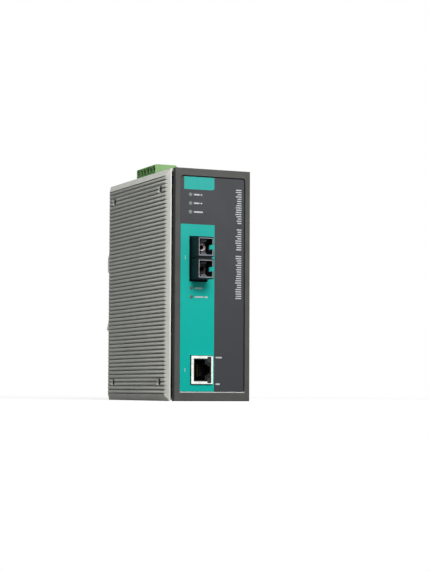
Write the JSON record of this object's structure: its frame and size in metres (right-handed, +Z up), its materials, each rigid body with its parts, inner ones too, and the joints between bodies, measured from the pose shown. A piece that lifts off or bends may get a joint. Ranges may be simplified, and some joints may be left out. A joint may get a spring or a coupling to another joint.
{
  "type": "fibre media converter",
  "caption": "Slim upright fibre-to-copper media converter with ribbed side plates, duplex fibre port, shielded jack, top terminal plug and rail clip.",
  "frame": {"origin": "on the standing surface, under the middle of the whole object", "axes": "+Z up, the front face looks along -Y, +X to the right as one faces the front"},
  "size_m": [0.0536, 0.1242, 0.1434],
  "materials": {
    "ribbed_alloy": "fine blasted die cast",
    "chassis_sheet": "satin",
    "bezel_plastic": "fine grain",
    "label_film": "satin film",
    "port_plastic": "moulded",
    "barrel_metal": "turned",
    "latch_plastic": "moulded",
    "tin_plate": "bright",
    "jack_plastic": "moulded",
    "gold_plate": "bright",
    "lamp_clear": "clear",
    "board_green": "solder mask",
    "screw_steel": "zinc plated",
    "black_epoxy": "moulded",
    "terminal_green": "moulded",
    "clip_alloy": "extruded",
    "spring_steel": "bright",
    "switch_blue": "moulded",
    "slider_white": "moulded",
    "can_sleeve": "shrunk sleeve"
  },
  "bodies": {
    "case": {"chassis_wrap": "chassis_sheet", "right_side_plate": "ribbed_alloy", "left_side_plate": "ribbed_alloy", "right_plate_screws": "screw_steel", "left_plate_screws": "screw_steel", "front_bezel": "bezel_plastic", "front_label": "label_film", "transceiver_housing": "port_plastic", "transmit_barrel": "barrel_metal", "receive_barrel": "barrel_metal", "transmit_latch": "latch_plastic", "receive_latch": "latch_plastic", "transceiver_pins": "gold_plate", "jack_shield": "tin_plate", "jack_body": "jack_plastic", "jack_contacts": "gold_plate", "jack_lamp_upper": "lamp_clear", "jack_lamp_lower": "lamp_clear", "status_lamp_holder": "black_epoxy", "link_lamp_holder": "black_epoxy", "status_lamp_1": "lamp_clear", "status_lamp_2": "lamp_clear", "status_lamp_3": "lamp_clear", "link_lamp_1": "lamp_clear", "link_lamp_2": "lamp_clear", "main_board": "board_green", "board_standoffs": "screw_steel", "board_screws": "screw_steel", "converter_chip": "black_epoxy", "line_transformer": "black_epoxy", "fault_relay": "black_epoxy", "power_transformer": "black_epoxy", "filter_capacitor_1": "can_sleeve", "filter_capacitor_2": "can_sleeve", "terminal_header": "terminal_green", "header_pins": "gold_plate", "switch_block": "switch_blue", "ground_screw": "screw_steel", "rail_clip": "clip_alloy", "rail_clip_spring": "spring_steel", "rail_clip_screws": "screw_steel"},
    "plug": {"terminal_plug": "terminal_green", "plug_contacts": "gold_plate"},
    "screw_1": {"clamp_screw_1": "screw_steel"},
    "cage_1": {"clamp_cage_1": "barrel_metal"},
    "screw_2": {"clamp_screw_2": "screw_steel"},
    "cage_2": {"clamp_cage_2": "barrel_metal"},
    "screw_3": {"clamp_screw_3": "screw_steel"},
    "cage_3": {"clamp_cage_3": "barrel_metal"},
    "screw_4": {"clamp_screw_4": "screw_steel"},
    "cage_4": {"clamp_cage_4": "barrel_metal"},
    "screw_5": {"clamp_screw_5": "screw_steel"},
    "cage_5": {"clamp_cage_5": "barrel_metal"},
    "screw_6": {"clamp_screw_6": "screw_steel"},
    "cage_6": {"clamp_cage_6": "barrel_metal"},
    "slider_1": {"switch_slider_1": "slider_white"},
    "slider_2": {"switch_slider_2": "slider_white"},
    "slider_3": {"switch_slider_3": "slider_white"},
    "slider_4": {"switch_slider_4": "slider_white"}
  },
  "joints": [
    {"name": "plug_pull", "type": "slide", "parent": "case", "child": "plug", "axis": [0, 0, 1], "range_m": [0, 0.014]},
    {"name": "screw_1_turn", "type": "hinge", "parent": "plug", "child": "screw_1", "pos_m": [-0.014, 0.00045, 0.1404], "axis": [1, 0, 0], "range_deg": [0, 1980]},
    {"name": "cage_1_clamp", "type": "slide", "parent": "plug", "child": "cage_1", "axis": [-1, 0, 0], "range_m": [0, 0.00247]},
    {"name": "screw_2_turn", "type": "hinge", "parent": "plug", "child": "screw_2", "pos_m": [-0.014, 0.00553, 0.1404], "axis": [1, 0, 0], "range_deg": [0, 1980]},
    {"name": "cage_2_clamp", "type": "slide", "parent": "plug", "child": "cage_2", "axis": [-1, 0, 0], "range_m": [0, 0.00247]},
    {"name": "screw_3_turn", "type": "hinge", "parent": "plug", "child": "screw_3", "pos_m": [-0.014, 0.01061, 0.1404], "axis": [1, 0, 0], "range_deg": [0, 1980]},
    {"name": "cage_3_clamp", "type": "slide", "parent": "plug", "child": "cage_3", "axis": [-1, 0, 0], "range_m": [0, 0.00247]},
    {"name": "screw_4_turn", "type": "hinge", "parent": "plug", "child": "screw_4", "pos_m": [-0.014, 0.01569, 0.1404], "axis": [1, 0, 0], "range_deg": [0, 1980]},
    {"name": "cage_4_clamp", "type": "slide", "parent": "plug", "child": "cage_4", "axis": [-1, 0, 0], "range_m": [0, 0.00247]},
    {"name": "screw_5_turn", "type": "hinge", "parent": "plug", "child": "screw_5", "pos_m": [-0.014, 0.02077, 0.1404], "axis": [1, 0, 0], "range_deg": [0, 1980]},
    {"name": "cage_5_clamp", "type": "slide", "parent": "plug", "child": "cage_5", "axis": [-1, 0, 0], "range_m": [0, 0.00247]},
    {"name": "screw_6_turn", "type": "hinge", "parent": "plug", "child": "screw_6", "pos_m": [-0.014, 0.02585, 0.1404], "axis": [1, 0, 0], "range_deg": [0, 1980]},
    {"name": "cage_6_clamp", "type": "slide", "parent": "plug", "child": "cage_6", "axis": [-1, 0, 0], "range_m": [0, 0.00247]},
    {"name": "switch_1_slide", "type": "slide", "parent": "case", "child": "slider_1", "axis": [1, 0, 0], "range_m": [0, 0.0014]},
    {"name": "switch_2_slide", "type": "slide", "parent": "case", "child": "slider_2", "axis": [1, 0, 0], "range_m": [0, 0.0014]},
    {"name": "switch_3_slide", "type": "slide", "parent": "case", "child": "slider_3", "axis": [1, 0, 0], "range_m": [0, 0.0014]},
    {"name": "switch_4_slide", "type": "slide", "parent": "case", "child": "slider_4", "axis": [1, 0, 0], "range_m": [0, 0.0014]}
  ],
  "couplings": [
    {"joint": "screw_1_turn", "follows": "cage_1_clamp", "rad_per_m": 13963},
    {"joint": "screw_2_turn", "follows": "cage_2_clamp", "rad_per_m": 13963},
    {"joint": "screw_3_turn", "follows": "cage_3_clamp", "rad_per_m": 13963},
    {"joint": "screw_4_turn", "follows": "cage_4_clamp", "rad_per_m": 13963},
    {"joint": "screw_5_turn", "follows": "cage_5_clamp", "rad_per_m": 13963},
    {"joint": "screw_6_turn", "follows": "cage_6_clamp", "rad_per_m": 13963}
  ]
}
